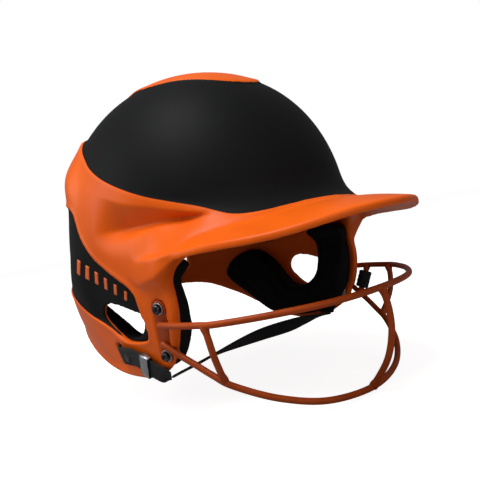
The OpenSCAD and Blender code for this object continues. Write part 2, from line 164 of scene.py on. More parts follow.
# -------------------------------------------------------------- materials
# Each colour comes with the second tone that clouds it.
ORANGE, ORANGE_DEEP = (0.84, 0.125, 0.004), (0.74, 0.100, 0.003)
ORANGE_INSIDE = (0.86, 0.13, 0.008)
PANEL_BLACK, PANEL_BLACK_WORN = (0.0050, 0.0052, 0.0055), (0.0080, 0.0083, 0.0088)
FOAM_BLACK, FOAM_GREY = (0.0035, 0.0035, 0.0038), (0.006, 0.006, 0.0064)
# The guard's orange is darker than the shell's: partly its own deeper tone, partly painted shade.
SHADED_GUARD_ORANGE, SHADED_GUARD_DEEP = (0.40, 0.056, 0.002), (0.31, 0.042, 0.002)
RUBBER_BLACK, RUBBER_GREY = (0.006, 0.006, 0.006), (0.012, 0.012, 0.012)
# The weave's hollows are painted darker as shade and its crests lighter as painted light.
WEAVE_HOLLOW_SHADE, WEAVE_CREST_LIGHT = (0.002, 0.002, 0.0025), (0.0075, 0.0075, 0.009)
EMBLEM_DEEP, EMBLEM_PALE = (0.70, 0.10, 0.008), (0.85, 0.14, 0.012)
SCREW_BLACK, SCREW_RUBBED = (0.03, 0.03, 0.035), (0.12, 0.12, 0.13)
PLATED, PLATED_DULL = (0.34, 0.35, 0.37), (0.22, 0.22, 0.24)
# Half the width of the line where the two paints meet.
PAINT_EDGE = 0.12
RIB_PITCH, TWILL_PITCH, TWILL_SLANT = 1.1, 1.6, 0.9


def shell_paint():
    """Satin orange, with matte black where the attribute zone is above nought."""
    n = Nodes("shell_paint")
    black = n.span(n.attribute("zone"), -PAINT_EDGE, PAINT_EDGE)
    inner = n.attribute("inner")
    cloud = n.noise(22.0, 3.0)
    fine = n.noise(1400.0, 2.0)
    orange = n.mix(n.span(cloud, 0.35, 0.7), ORANGE, ORANGE_DEEP)
    dark = n.mix(n.span(fine, 0.3, 0.75), PANEL_BLACK, PANEL_BLACK_WORN)
    orange = n.mix(inner, orange, ORANGE_INSIDE)
    n.set(Base_Color=n.mix(black, orange, dark))
    rough = n.calc("ADD", n.span(fine, 0.3, 0.7, 0.36, 0.42), n.calc("MULTIPLY", black, 0.17))
    n.set(Roughness=n.calc("ADD", rough, n.calc("MULTIPLY", inner, 0.2)))
    n.set(Specular_IOR_Level=n.span(black, 0.0, 1.0, 0.16, 0.07))
    n.bump(fine, 0.00003)
    return n.material


def foam():
    """Closed-cell foam with a soft skin and open pores."""
    n = Nodes("foam")
    pores = n.noise(900.0, 3.0)
    cloud = n.noise(60.0, 2.0)
    n.set(Base_Color=n.mix(n.span(cloud, 0.3, 0.7), FOAM_BLACK, FOAM_GREY))
    n.set(Roughness=n.span(pores, 0.3, 0.7, 0.8, 0.95), Specular_IOR_Level=0.18)
    n.bump(pores, 0.00018)
    return n.material


def guard_paint():
    """Orange powder coat, with a faint orange peel and slightly deeper patches. Its orange is darker
    than the shell's, partly its own deeper tone and partly painted shade.
    """
    n = Nodes("guard_paint")
    peel = n.noise(700.0, 1.0)
    cloud = n.noise(45.0, 3.0)
    n.set(Base_Color=n.mix(n.span(cloud, 0.35, 0.7), SHADED_GUARD_ORANGE, SHADED_GUARD_DEEP))
    n.set(Roughness=n.span(peel, 0.3, 0.7, 0.38, 0.5), Specular_IOR_Level=0.2)
    n.bump(peel, 0.00005)
    return n.material


def sleeve_rubber():
    """Moulded rubber with a fine grain."""
    n = Nodes("sleeve_rubber")
    grain = n.noise(1200.0, 2.0)
    n.set(Base_Color=n.mix(grain, RUBBER_BLACK, RUBBER_GREY))
    n.set(Roughness=n.span(grain, 0.3, 0.7, 0.62, 0.8), Specular_IOR_Level=0.25)
    n.bump(grain, 0.00006)
    return n.material


def steel(name, colour, worn, rough):
    """Plated or blackened steel with turning marks and rubbed spots."""
    n = Nodes(name)
    marks = n.noise(500.0, 4.0)
    fine = n.noise(2600.0, 2.0, (1, 1, 0.15))
    n.set(Base_Color=n.mix(n.span(marks, 0.45, 0.7), colour, worn), Metallic=1.0)
    n.set(Roughness=n.span(fine, 0.3, 0.7, rough - 0.08, rough + 0.1))
    n.bump(fine, 0.00002)
    return n.material


def webbing_cloth():
    """Black nylon webbing: ribs across it, woven in a fine herringbone, with painted shade in the
    weave's hollows and painted light on its crests.
    """
    n = Nodes("webbing")
    along = n.attribute("along")
    across = n.attribute("across")
    rib = n.calc("SINE", n.calc("MULTIPLY", along, 2 * math.pi / RIB_PITCH))
    slant = n.calc("MULTIPLY", n.calc("ABSOLUTE", across), TWILL_SLANT)
    twill = n.calc("SINE", n.calc("MULTIPLY", n.calc("ADD", slant, along), 2 * math.pi / TWILL_PITCH))
    weave = n.calc("ADD", n.calc("MULTIPLY", rib, 0.5), n.calc("MULTIPLY", twill, 0.5))
    fuzz = n.noise(2500.0, 2.0)
    # Painted shade in the weave's hollows and painted light on its crests.
    n.set(Base_Color=n.mix(n.span(weave, -1.0, 1.0), WEAVE_HOLLOW_SHADE, WEAVE_CREST_LIGHT))
    n.set(Roughness=n.span(fuzz, 0.3, 0.7, 0.68, 0.88), Specular_IOR_Level=0.3)
    n.set(Sheen_Weight=0.04, Sheen_Roughness=0.5)
    n.bump(weave, 0.00012)
    return n.material


def emblem_paint():
    """Screen-printed orange, a little uneven."""
    n = Nodes("emblem_paint")
    grain = n.noise(900.0, 2.0)
    n.set(Base_Color=n.mix(grain, EMBLEM_DEEP, EMBLEM_PALE))
    n.set(Roughness=n.span(grain, 0.3, 0.7, 0.32, 0.45))
    return n.material


SHELL_PAINT = shell_paint()
FOAM = foam()
SHADED_GUARD_PAINT = guard_paint()
SLEEVE_RUBBER = sleeve_rubber()
DARK_STEEL = steel("dark_steel", SCREW_BLACK, SCREW_RUBBED, 0.38)
BRIGHT_STEEL = steel("bright_steel", PLATED, PLATED_DULL, 0.32)
WEBBING = webbing_cloth()
EMBLEM_PAINT = emblem_paint()


# ------------------------------------------------------------- mesh tools
def set_attributes(mesh, **attributes):
    """Float attributes on the mesh's points."""
    for key, values in attributes.items():
        layer = mesh.attributes.new(key, "FLOAT", "POINT")
        layer.data.foreach_set("value", np.asarray(values, np.float32))


def add_piece(name, points, faces, material, nodes=(), body="helmet", slot=None, **attributes):
    """A mesh piece from points in millimetres, on its body, with its material; slot is not used."""
    mesh = bpy.data.meshes.new(name)
    mesh.from_pydata((np.asarray(points, float) * MM).tolist(), [], [list(f) for f in faces])
    mesh.update()
    mesh.polygons.foreach_set("use_smooth", [True] * len(mesh.polygons))
    set_attributes(mesh, **attributes)
    mesh.materials.append(material)
    piece = bpy.data.objects.new(name, mesh)
    bpy.context.scene.collection.objects.link(piece)
    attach(piece, body)
    if nodes:
        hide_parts(*nodes)
    return piece


def spline_points(a, b, c, d, steps):
    """Points on the Catmull-Rom curve from b to just before c."""
    return [0.5 * (2 * b + (c - a) * t + (2 * a - 5 * b + 4 * c - d) * t * t
                   + (3 * b - a - 3 * c + d) * t ** 3) for t in np.arange(steps) / steps]


def curve_through(points, steps):
    """Smooth open curve through the points, as part.scad draws it."""
    p = np.asarray(points, float)
    p = np.vstack([2 * p[0] - p[1], p, 2 * p[-1] - p[-2]])
    out = [q for i in range(len(p) - 3) for q in spline_points(*p[i:i + 4], steps)]
    return np.array(out + [p[-2]])


def closed_curve(points, steps=5):
    """A smooth closed outline through the points."""
    p = np.asarray(points, float)
    p = np.vstack([p[-1:], p, p[:2]])
    return np.array([q for i in range(len(p) - 3) for q in spline_points(*p[i:i + 4], steps)])


def unit(v):
    """Vectors of length 1."""
    return v / np.linalg.norm(v, axis=-1, keepdims=True)


def ring_faces(rings, sides, closed=False):
    """Quads between rings of points, and end caps where it isn't closed."""
    faces = []
    for i in range(rings if closed else rings - 1):
        j = (i + 1) % rings
        for k in range(sides):
            m = (k + 1) % sides
            faces.append((i * sides + k, i * sides + m, j * sides + m, j * sides + k))
    if not closed:
        faces.append(tuple(range(sides - 1, -1, -1)))
        faces.append(tuple((rings - 1) * sides + k for k in range(sides)))
    return faces


def headings(path):
    """Direction of travel at each point of a path."""
    ahead = np.vstack([path[1:], path[-1:]])
    behind = np.vstack([path[:1], path[:-1]])
    return unit(ahead - behind)


def distances(path):
    """Distance along a path to each of its points."""
    return np.concatenate([[0], np.cumsum(np.linalg.norm(np.diff(path, axis=0), axis=1))])


def tube(path, radii, reference, sides=24):
    """Points and faces of a round tube, with a radius at each point of the path."""
    t = headings(path)
    u = unit(np.cross(np.broadcast_to(np.asarray(reference, float), t.shape), t))
    v = np.cross(t, u)
    turn = 2 * np.pi * np.arange(sides) / sides
    ring = np.cos(turn)[None, :, None] * u[:, None] + np.sin(turn)[None, :, None] * v[:, None]
    points = path[:, None] + radii[:, None, None] * ring
    return points.reshape(-1, 3), ring_faces(len(path), sides)


def lathe(profile, sides, hexagon=(), closed=False):
    """Points and faces turned about Z from (radius, height) pairs: a solid capped at both
    ends, or a ring if closed. The rows listed in hexagon are six-sided, as a socket is."""
    points, turn = [], 2 * np.pi * np.arange(sides) / sides
    for row, (radius, height) in enumerate(profile):
        r = np.full(sides, float(radius))
        if row in hexagon:
            r = r / np.cos((turn + np.pi / 6) % (np.pi / 3) - np.pi / 6) * math.cos(np.pi / 6)
        points.append(np.stack([r * np.cos(turn), r * np.sin(turn), np.full(sides, height)], 1))
    return np.concatenate(points), ring_faces(len(profile), sides, closed)


def stand_on(points, place, way):
    """Points turned so that Z runs along way, and moved to place."""
    z = unit(np.asarray(way, float))
    x = unit(np.cross([0.0, 1.0, 0.3], z))
    y = np.cross(z, x)
    return points @ np.array([x, y, z]) + np.asarray(place, float)


def join_parts(parts):
    """Several (points, faces) as one."""
    points, faces, base = [], [], 0
    for p, f in parts:
        points.append(p)
        faces += [tuple(i + base for i in face) for face in f]
        base += len(p)
    return np.concatenate(points), faces


def mirrored(part):
    """The same part on the other side of the head."""
    points, faces = part
    return points * [1, -1, 1], [tuple(reversed(f)) for f in faces]


def outward(part):
    """The part with its faces turned round, for a profile listed the other way."""
    points, faces = part
    return points, [tuple(reversed(f)) for f in faces]


def bell(v, width):
    """1 at 0, falling smoothly to nearly 0 at twice the width."""
    return np.exp(-((v / width) ** 2))


def ease(v):
    """Smooth step from 0 at 0 to 1 at 1."""
    v = np.clip(v, 0, 1)
    return v * v * (3 - 2 * v)


def soft_max(a, b, k):
    """The larger of two fields, rounded over about k."""
    h = np.maximum(k - np.abs(a - b), 0) / k
    return np.maximum(a, b) + h * h * k / 4


def soft_min(a, b, k):
    """The smaller of two fields, rounded over about k."""
    return -soft_max(-a, -b, k)


def outline_field(outline, u, v):
    """Signed distance to a closed flat outline, below nought inside."""
    shape = np.broadcast(u, v).shape
    u = np.broadcast_to(u, shape).ravel().astype(np.float32)
    v = np.broadcast_to(v, shape).ravel().astype(np.float32)
    best = np.full(u.shape, 1e9, np.float32)
    inside = np.zeros(u.shape, bool)
    for a, b in zip(outline, np.roll(outline, -1, 0)):
        d = b - a
        s = np.clip(((u - a[0]) * d[0] + (v - a[1]) * d[1]) / (d @ d), 0, 1)
        best = np.minimum(best, (u - a[0] - s * d[0]) ** 2 + (v - a[1] - s * d[1]) ** 2)
        if a[1] != b[1]:
            crosses = (a[1] > v) != (b[1] > v)
            inside ^= crosses & (u < a[0] + (v - a[1]) * d[0] / d[1])
    return (np.sqrt(best) * np.where(inside, -1, 1)).reshape(shape)


def segment_field(a, b, *place):
    """Distance to a straight piece, in two or three dimensions."""
    d = np.asarray(b, float) - a
    s = np.clip(sum((p - q) * r for p, q, r in zip(place, a, d)) / (d @ d), 0, 1)
    return np.sqrt(sum((p - q - s * r) ** 2 for p, q, r in zip(place, a, d)))


def contour(field, low, step):
    """Points and quads where a field on a grid is nought, by surface nets."""
    inside = field < 0
    cut = [slice(None, -1), slice(1, None)]
    corners = [(i, j, k) for i in (0, 1) for j in (0, 1) for k in (0, 1)]
    count = sum(inside[cut[i], cut[j], cut[k]].astype(np.int8) for i, j, k in corners)
    active = (count > 0) & (count < 8)
    cells = np.argwhere(active)
    number = np.full(active.shape, -1, np.int64)
    number[active] = np.arange(len(cells))
    value = {c: field[tuple((cells + c).T)] for c in corners}
    total, crossings = np.zeros((len(cells), 3)), np.zeros(len(cells))
    for a in corners:
        for axis in range(3):
            if a[axis]:
                continue
            b = tuple(x + (k == axis) for k, x in enumerate(a))
            hit = (value[a] < 0) != (value[b] < 0)
            share = value[a][hit] / (value[a][hit] - value[b][hit])
            total[hit] += a
            total[hit, axis] += share
            crossings[hit] += 1
    points = (cells + total / crossings[:, None]) * step + low
    quads = []
    for axis in range(3):
        b, c = (axis + 1) % 3, (axis + 2) % 3
        first = np.moveaxis(inside, (axis, b, c), (0, 1, 2))
        changed = np.argwhere(first[:-1, 1:-1, 1:-1] != first[1:, 1:-1, 1:-1])
        net = np.moveaxis(number, (axis, b, c), (0, 1, 2))
        i, j, k = changed.T
        quad = np.stack([net[i, j + 1, k + 1], net[i, j, k + 1], net[i, j, k], net[i, j + 1, k]], 1)
        leaves = first[i, j + 1, k + 1]
        quads.append(np.where(leaves[:, None], quad, quad[:, ::-1]))
    return points, np.concatenate(quads)


def grid(low, high, step):
    """Three broadcasting coordinates that cover a box."""
    axes = [np.arange(a, b + step, step, dtype=np.float32) for a, b in zip(low, high)]
    return axes[0][:, None, None], axes[1][None, :, None], axes[2][None, None, :]


# ------------------------------------------------------------- shell form
CENTRE_X, BASE_Z, RISE = -2.0, 50.0, 119.0
DOME_POWER = 2.2
WALL = 4.5
# Behind the ears the form is fuller, most of all at one height.
REAR_START_X = -24.0
REAR_FULLNESS, FULLNESS_Z, FULLNESS_REACH, FULLNESS_BLEND = 4.3, 25.0, 36.0, 6.0
# Height, reach ahead, reach behind, half width, squareness ahead and behind.
LEVELS = np.array([
    [-70, 104, 92, 74, 3.3, 2.8],
    [-56, 108, 98, 80, 3.3, 2.8], [-44, 112, 104, 86, 3.3, 2.8], [-30, 116, 109, 90.5, 3.2, 2.8],
    [-15, 118, 114, 94, 3.1, 2.7], [0, 119, 118, 97, 2.9, 2.6], [15, 119, 120.5, 99.5, 2.7, 2.45],
    [32, 117, 121.5, 101.5, 2.4, 2.25], [50, 109, 122, 103, 2.1, 2.05],
])
SMOOTHING = 15


def smooth_table(x, y, low, high):
    """A table sampled each millimetre and smoothed, so that its corners are round."""
    fine = np.arange(low - SMOOTHING, high + SMOOTHING + 1.0)
    kernel = np.hanning(SMOOTHING + 2)[1:-1]
    values = np.interp(fine, x, y)
    padded = np.pad(values, SMOOTHING // 2, mode="edge")
    return fine, np.convolve(padded, kernel / kernel.sum(), "valid")[:len(fine)]


COLUMNS = [smooth_table(LEVELS[:, 0], LEVELS[:, k], -70, 60) for k in range(1, 6)]


def behind_ears(x, blend):
    """1 at the rear and 0 ahead of it."""
    return 1 / (1 + np.exp((x - REAR_START_X) / blend))


def plain(x, y, z):
    """Distance from the plain outer form, below nought inside it."""
    low = np.minimum(z, BASE_Z)
    ahead, behind, wide, square_ahead, square_behind = (np.interp(low, *c) for c in COLUMNS)
    dx = x - CENTRE_X
    reach = np.where(dx > 0, ahead, behind).astype(np.float32)
    square = np.where(dx > 0, square_ahead, square_behind).astype(np.float32)
    wide = wide.astype(np.float32)
    q = ((np.abs(dx) / reach) ** square + (np.abs(y) / wide) ** square) ** (1 / square)
    above = np.maximum(z - BASE_Z, 0)
    g = (q ** DOME_POWER + (above / RISE) ** DOME_POWER) ** (1 / DOME_POWER)
    fullness = REAR_FULLNESS * behind_ears(x, FULLNESS_BLEND) * bell(z - FULLNESS_Z, FULLNESS_REACH)
    return np.sqrt(dx * dx + y * y + above * above) * (1 - 1 / np.maximum(g, 0.02)) - fullness


# Lower edge of the shell in the side view, from behind over the ear to the face.
EDGE_LINE = np.array([
    [-150, 4], [-122, 2], [-104, -3], [-86, -13], [-72, -20], [-59, -26.5], [-47, -32], [-36, -36.5],
    [-22, -40], [-9, -41.5], [4, -41.5], [16, -41], [28, -38.5], [39, -34], [48, -28.5], [54, -22.5],
    [59, -15.5], [62.5, -8], [65, 0], [66.3, 8], [66.3, 16], [65.2, 24], [65.5, 30], [68, 35.5],
    [74, 40], [84, 43], [100, 45], [125, 46.5],
])
BELOW_EDGE = np.vstack([curve_through(EDGE_LINE, 4), [[230, 46.5], [230, -90], [-150, -90]]])
EAR_HOLE = closed_curve([
    [-14, 4], [-12, 9], [-7, 12], [0, 12.5], [10, 11], [22, 8], [33, 5], [36, 2], [36, -5],
    [34, -10], [28, -12.5], [14, -13.5], [5, -12.5], [-3, -8], [-10, -2],
])
# Black panel round the ear, in the side view.
EAR_PANEL = closed_curve([
    [-28, 81], [-19, 63], [-5, 47], [10.5, 36], [22, 29], [31, 23], [34.8, 16], [35, 3], [35, -6],
    [33, -10.5], [22, -11.5], [6, -12], [-3, -9], [-12, -3], [-29, 5], [-47, 14], [-62, 20],
    [-80, 25], [-100, 30], [-135, 34], [-135, 88], [-90, 88], [-50, 86],
])
# Lower edge of the black dome: x and height.
DOME_EDGE_POINTS = np.array([
    [-140, 141], [-90, 141], [-62, 139], [-45, 134], [-33, 127.5], [-23, 120.5], [-12, 113.3],
    [-4, 107.6], [4, 103], [15, 97], [26, 91.6], [39, 85.4], [53, 79], [70, 72.2], [81.5, 67.4],
    [91, 62], [98, 58.4], [105, 56], [113, 54], [140, 52],
])
DOME_EDGE = smooth_table(DOME_EDGE_POINTS[:, 0], DOME_EDGE_POINTS[:, 1], -140, 140)
# Orange crown stripe: x and half width, from the back to its front tip.
CROWN_STRIPE = np.array([
    [-140, 26], [-90, 26.5], [-60, 29], [-35, 34.5], [-15, 41.5], [0, 46], [12, 48], [20, 47],
    [28, 44], [37, 38.5], [47, 32], [56, 24.5], [62, 17], [65.5, 9], [66.5, 0],
])
CROWN_OUTLINE = np.vstack([curve_through(CROWN_STRIPE, 4), [[67, -20], [-140, -20]]])
# Upper edge of the scoop over the ear: x and height.
SCOOP_POINTS = np.array([[-10, 92], [10, 88], [24, 82.3], [34.5, 78], [46, 74.7], [56, 71.7],
                         [67, 68.2], [76, 64.8], [90, 62.2]])
SCOOP_TOP = smooth_table(SCOOP_POINTS[:, 0], SCOOP_POINTS[:, 1], -10, 90)
SCOOP_DEPTH, SCOOP_VALLEY_Z, SCOOP_VALLEY_REACH = 9.5, 61.8, 7.5
SCOOP_HOLLOW, SCOOP_CRISPNESS = 1.15, 1.5
SCOOP_BACK_X, SCOOP_BACK_FADE = 2.0, 30.0
SCOOP_FRONT_X, SCOOP_FRONT_FADE = 91.0, 24.0
SCOOP_FADE_Y = 40.0
# The black of the dome ends this far ahead of the form at the brim's root.
BRIM_ROOT_Z, BRIM_ROOT_MARGIN = 57.0, 9.5
DOME_CORNER, DOME_SLANT = 6.0, 0.85
CROWN_Z, CROWN_FADE = 100.0, 40.0
FAR_INSIDE = 50.0
# Height of each raised or sunk line, how far it reaches, and where it is.
DOME_STEP_WIDTH = 1.8
DOME_LEDGE, DOME_LEDGE_REACH = 1.3, 20.0
DOME_LINE, DOME_LINE_REACH = 0.6, 5.0
DOME_STRIPE = 0.8
REAR_SWELL, REAR_SWELL_REACH, REAR_SWELL_BELOW, REAR_BLEND = 4.8, 15.0, 24.0, 3.5
PANEL_DEPTH, PANEL_STEP_WIDTH, PANEL_REAR_SHARE = 1.8, 1.6, 0.5
PANEL_LIP, PANEL_LIP_REACH, PANEL_LIP_OUT = 0.7, 1.6, 1.8
FLANGE, FLANGE_REACH, FLANGE_X, FLANGE_FADE, FLANGE_Z, FLANGE_RISE = 1.5, 5.5, 40, 14, -36, 10
RIM, RIM_REACH, RIM_IN, RIM_X, RIM_FADE, RIM_Z, RIM_FALL = 1.7, 3.4, 2.5, 34, 30, 4, 10


def dome_zone(x, y, z):
    """Above nought in the black of the dome, in millimetres from its edge."""
    stripe = outline_field(CROWN_OUTLINE, x, np.abs(y))
    front = BRIM_ROOT_MARGIN - plain(x, y, np.float32(BRIM_ROOT_Z))
    sides = soft_min((z - np.interp(x, *DOME_EDGE)) * DOME_SLANT, front, DOME_CORNER)
    return np.minimum(sides, np.where(z > CROWN_Z, stripe, FAR_INSIDE))


def panel_zone(x, z):
    """Above nought in the black panel round the ear."""
    return -outline_field(EAR_PANEL, x, z)


def scoop(x, y, z):
    """How deep the scoop goes: a slope in from its upper edge to a crisp valley."""
    upper = np.interp(x, *SCOOP_TOP)
    share = (upper - z) / np.maximum(upper - SCOOP_VALLEY_Z, 1.0)
    below = np.maximum(SCOOP_VALLEY_Z - z, 0) / SCOOP_VALLEY_REACH
    slope = np.where(share < 1, np.clip(share, 0, 1) ** SCOOP_HOLLOW, np.exp(-below ** SCOOP_CRISPNESS))
    along = ease((x - SCOOP_BACK_X) / SCOOP_BACK_FADE) * ease((SCOOP_FRONT_X - x) / SCOOP_FRONT_FADE)
    return SCOOP_DEPTH * along * slope * ease(np.abs(y) / SCOOP_FADE_Y)


def styling(x, y, z, dome, panel, edge):
    """How far the styled surface stands out from the plain form."""
    rear = behind_ears(x, REAR_BLEND)
    below_dome = ease(0.5 - dome / DOME_STEP_WIDTH)
    swell = REAR_SWELL * bell(dome + REAR_SWELL_BELOW, REAR_SWELL_REACH)
    ledge = rear * (DOME_LEDGE * below_dome * bell(dome, DOME_LEDGE_REACH) + swell)
    stripe = DOME_STRIPE * below_dome * ease((z - CROWN_Z) / CROWN_FADE)
    line = DOME_LINE * below_dome * bell(dome, DOME_LINE_REACH)
    in_panel = ease(0.5 + panel / PANEL_STEP_WIDTH) * ease((edge - 2) / 4)
    recess = PANEL_DEPTH * (1 - PANEL_REAR_SHARE * rear) * in_panel
    lip = PANEL_LIP * bell(panel + PANEL_LIP_OUT, PANEL_LIP_REACH)
    face_side = ease((x - FLANGE_X) / FLANGE_FADE) * ease((z - FLANGE_Z) / FLANGE_RISE)
    flange = FLANGE * bell(edge, FLANGE_REACH) * face_side
    low_rear = ease((RIM_X - x) / RIM_FADE) * ease((RIM_Z - z) / RIM_FALL)
    rim = RIM * ease((edge + 2) / 3) * bell(edge - RIM_IN, RIM_REACH) * low_rear
    return ledge + stripe + line - recess + lip + flange + rim


# ------------------------------------------------------------------- brim
BRIM_TEMPLE = (60.0, 95.0)
BRIM_TIP_X = 170.0
BRIM_THICKNESS, BRIM_EDGE_ROUND = 5.0, 1.8
BRIM_ARCH = 2.5
BRIM_ROOT_TEMPLE_Z, BRIM_TURN = 50.0, 0.62
BRIM_ROOT_INSET, BRIM_LEAST_REACH = 2.5, 6.0
# Behind the temple the plate thins out into the shell.
BRIM_FADE, BRIM_FADE_X, BRIM_FADE_LENGTH = 14.0, 62.0, 45.0
# Height of the brim's edge: degrees round from its tip, and z.
BRIM_POINTS = np.array([[0, 52.2], [10, 52.2], [20, 51.3], [30, 49.2], [40, 46.8], [50, 45.4],
                        [60, 45], [70, 44.6], [80, 42.6], [88, 38.5], [110, 33]])
BRIM_EDGE = smooth_table(BRIM_POINTS[:, 0], BRIM_POINTS[:, 1], 0, 110)
TIGHT_FILLET, TEMPLE_FILLET, WIDE_FILLET = 5.0, 17.0, 17.0
TEMPLE_FILLET_X, TEMPLE_FILLET_FADE = 88.0, 26.0


def brim(x, y, z):
    """Distance field of the brim, a bent plate with an eased edge, and how widely it
    runs into the dome there: a broad sweep above, and a tight corner below."""
    u = (x - BRIM_TEMPLE[0]) / (BRIM_TIP_X - BRIM_TEMPLE[0])
    v = np.abs(y) / BRIM_TEMPLE[1]
    rho = np.sqrt(u * u + v * v)
    turn = np.arctan2(v, u)
    size = np.hypot((BRIM_TIP_X - BRIM_TEMPLE[0]) * np.cos(turn), BRIM_TEMPLE[1] * np.sin(turn))
    edge_z = np.interp(np.degrees(turn), *BRIM_EDGE)
    root_z = BRIM_ROOT_TEMPLE_Z + (BRIM_ROOT_Z - BRIM_ROOT_TEMPLE_Z) * np.cos(turn * BRIM_TURN)
    from_dome = np.maximum(plain(x, y, np.float32(BRIM_ROOT_Z)) + BRIM_ROOT_INSET, 0)
    from_edge = np.maximum((1 - rho) * size, 0)
    share = from_dome / np.maximum(from_dome + from_edge, BRIM_LEAST_REACH)
    arch = BRIM_ARCH * np.maximum(np.cos(turn), 0) * np.sin(np.pi * share)
    top = (root_z + (edge_z - root_z) * share + arch).astype(np.float32)
    slab = np.maximum(z - top, top - BRIM_THICKNESS - z)
    plate = soft_max(slab, ((rho - 1) * size).astype(np.float32), BRIM_EDGE_ROUND)
    plate = plate + BRIM_FADE * ease((BRIM_FADE_X - x) / BRIM_FADE_LENGTH)
    under = TIGHT_FILLET + TEMPLE_FILLET * ease((TEMPLE_FILLET_X - x) / TEMPLE_FILLET_FADE)
    above = TIGHT_FILLET + WIDE_FILLET
    return plate, under + (above - under) * ease((z - top + 3) / 6)


# ------------------------------------------------------------------ shell
SCREW_POINTS = np.array([[54, 94, 10], [48.5, 90.4, -21]], float)
SCREW_WAYS = unit(np.array([[0.21, 0.96, -0.16], [0.19, 0.95, -0.25]]))
UPPER_HALF = [[52.5, 94.8, -0.5], [58, 95.9, -0.2], [66, 96, 0], [77, 95, 0], [89, 92.4, 0],
              [101, 88.4, 0], [125, 67.4, 0.5], [144.5, 37.4, 0.9], [151, 0, 1.2]]
LOWER_HALF = [[49, 93.3, -12.6], [53.5, 92.2, -15.2], [61, 89.9, -20], [71.5, 86.6, -26.2],
              [82, 82.8, -33], [93, 77.7, -39.9], [111.6, 60.3, -50.9], [125.5, 34.6, -59.4],
              [132.2, 0, -61.9]]
WIRE_RADIUS = 2.05
VENT_CENTRES = [(-44, 24), (44, 24)]
VENT_HALF, VENT_CORNER, VENT_ROUND, VENT_X = (6.5, 10.0), 3.0, 2.0, -80
SLOT_CENTRE, SLOT_HALF, SLOT_CORNER, SLOT_ROUND, SLOT_Y = (-8.5, -24.0), (3.0, 8.5), 2.0, 1.6, -60
RIM_ROUND, INSIDE_ROUND, EAR_HOLE_ROUND = 3.5, 2.6, 2.6
# The inside follows this much of the scoop.
INSIDE_DENT = 0.9
SEAT_RADIUS, SEAT_DEPTH, SEAT_ROUND = 5.4, 1.9, 0.8
GROOVE_PLAY, GROOVE_ROUND = 0.35, 0.6
BORE_RADIUS, BORE_REACH = 2.3, 15
# The part of each flap that the guard's seats are cut in.
FLAP_X, FLAP_Z, FLAP_Y = (38, 80), (-34, 22), 76


def box_field(u, v, half, corner):
    """Flat rounded box about nought."""
    a, b = np.abs(u) - half[0] + corner, np.abs(v) - half[1] + corner
    return np.hypot(np.maximum(a, 0), np.maximum(b, 0)) + np.minimum(np.maximum(a, b), 0) - corner


def cut_flap_seats(solid, surface, x, y, z):
    """Recess for each guard plate, groove for each wire end, and the screw holes."""
    shape = solid.shape
    near = (x > FLAP_X[0]) & (x < FLAP_X[1]) & (z > FLAP_Z[0]) & (z < FLAP_Z[1]) & (np.abs(y) > FLAP_Y)
    near = np.broadcast_to(near, shape)
    px, py, pz = (np.broadcast_to(c, shape)[near] for c in (x, np.abs(y), z))
    value, depth = solid[near], surface[near]
    (ax, _, az), (bx, _, bz) = SCREW_POINTS
    seat = np.maximum(segment_field((ax, az), (bx, bz), px, pz) - SEAT_RADIUS, -(depth + SEAT_DEPTH))
    value = soft_max(value, -seat, SEAT_ROUND)
    for half in (UPPER_HALF, LOWER_HALF):
        path = curve_through(half[:4], 2)
        for a, b in zip(path[:-1], path[1:]):
            groove = segment_field(a, b, px, py, pz) - WIRE_RADIUS - GROOVE_PLAY
            value = soft_max(value, -groove, GROOVE_ROUND)
    for point, way in zip(SCREW_POINTS, SCREW_WAYS):
        reach = BORE_REACH * way
        bore = segment_field(point - reach, point + reach, px, py, pz) - BORE_RADIUS
        value = np.maximum(value, -bore)
    solid[near] = value
    return solid


def shell_field(x, y, z):
    """Distance field of the whole shell, below nought in its plastic."""
    edge = outline_field(BELOW_EDGE, x, z)
    dome = dome_zone(x, y, z)
    panel = panel_zone(x, z)
    form = plain(x, y, z)
    dent = scoop(x, y, z)
    surface = form + dent - styling(x, y, z, dome, panel, edge)
    solid = soft_max(surface, -edge, RIM_ROUND)
    plate, fillet = brim(x, y, z)
    solid = soft_min(solid, plate, fillet)
    solid = soft_max(solid, -(form + WALL + dent * INSIDE_DENT), INSIDE_ROUND)
    solid = soft_max(solid, -outline_field(EAR_HOLE, x, z), EAR_HOLE_ROUND)
    for side, up in VENT_CENTRES:
        vent = np.maximum(box_field(y - side, z - up, VENT_HALF, VENT_CORNER), x - VENT_X)
        solid = soft_max(solid, -vent, VENT_ROUND)
    slot = box_field(x - SLOT_CENTRE[0], z - SLOT_CENTRE[1], SLOT_HALF, SLOT_CORNER)
    solid = soft_max(solid, -np.maximum(slot, y - SLOT_Y), SLOT_ROUND)
    return cut_flap_seats(solid.astype(np.float32), surface, x, y, z)


def field_normals(field, low, step, points):
    """Outward direction of a field at points between its grid places."""
    place = (points - low) / step
    base = np.clip(np.floor(place).astype(int), 0, np.array(field.shape) - 2)
    share = place - base
    out = np.zeros_like(points)
    slopes = np.gradient(field)
    for corner in [(i, j, k) for i in (0, 1) for j in (0, 1) for k in (0, 1)]:
        weight = np.prod([share[:, a] if corner[a] else 1 - share[:, a] for a in range(3)], 0)
        at = tuple((base + corner).T)
        for axis in range(3):
            out[:, axis] += weight * slopes[axis][at]
    return unit(out)


MOST_TRIANGLES = 190_000
SHELL_LOW, SHELL_HIGH = (-136.0, -112.0, -48.0), (175.0, 112.0, 175.0)
SHELL_STEP = 1.3
# Paint reaches this far in over an edge, and past it the inside begins.
PAINT_REACH, INSIDE_START, INSIDE_FADE = 1.1, 1.5, 2.0


